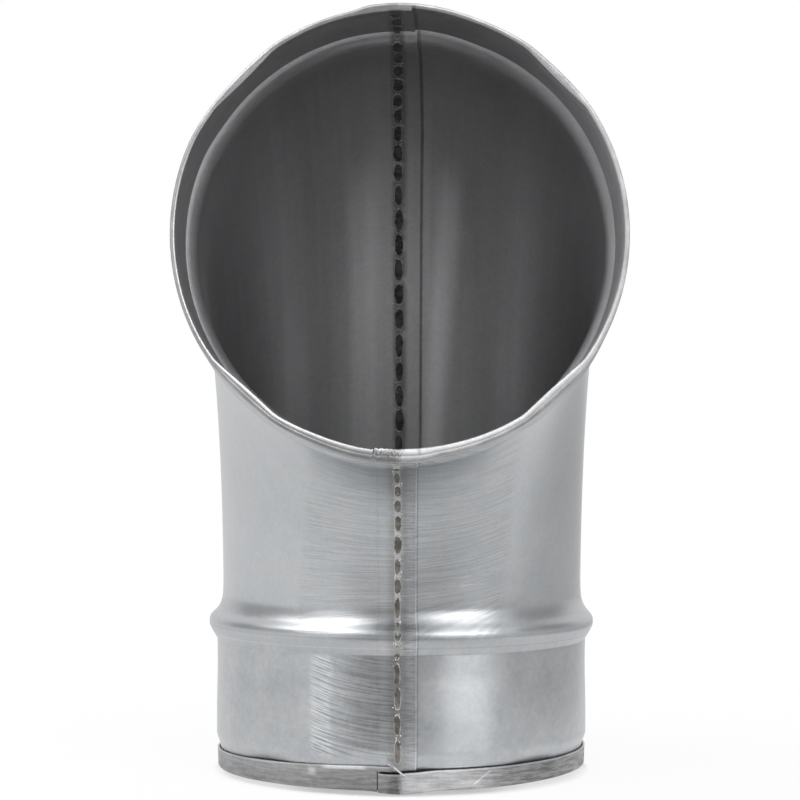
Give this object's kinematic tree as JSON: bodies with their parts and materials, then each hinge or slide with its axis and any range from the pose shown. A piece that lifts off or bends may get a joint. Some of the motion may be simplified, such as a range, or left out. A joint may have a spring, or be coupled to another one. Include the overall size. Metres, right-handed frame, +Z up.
{
  "type": "flue elbow",
  "caption": "Round duct elbow that turns a flue or ventilation run through a right angle, pressed from galvanised sheet with a spigot collar and stop bead at each end.",
  "frame": {"origin": "centre of the lower mouth, in the plane of its folded rim", "axes": "+Z runs up the axis of the lower spigot into the fitting, -Y is the way the upper spigot faces, and X runs across the fitting from one half shell to the other"},
  "size_m": [0.103, 0.1864, 0.1864],
  "materials": {
    "galvanised_sheet": "satin zinc coating",
    "weld_metal": "dark resistance weld"
  },
  "bodies": {
    "root": {"left_half_shell": "galvanised_sheet", "right_half_shell": "galvanised_sheet", "throat_weld_seam": "weld_metal", "heel_weld_seam": "weld_metal"}
  },
  "joints": []
}
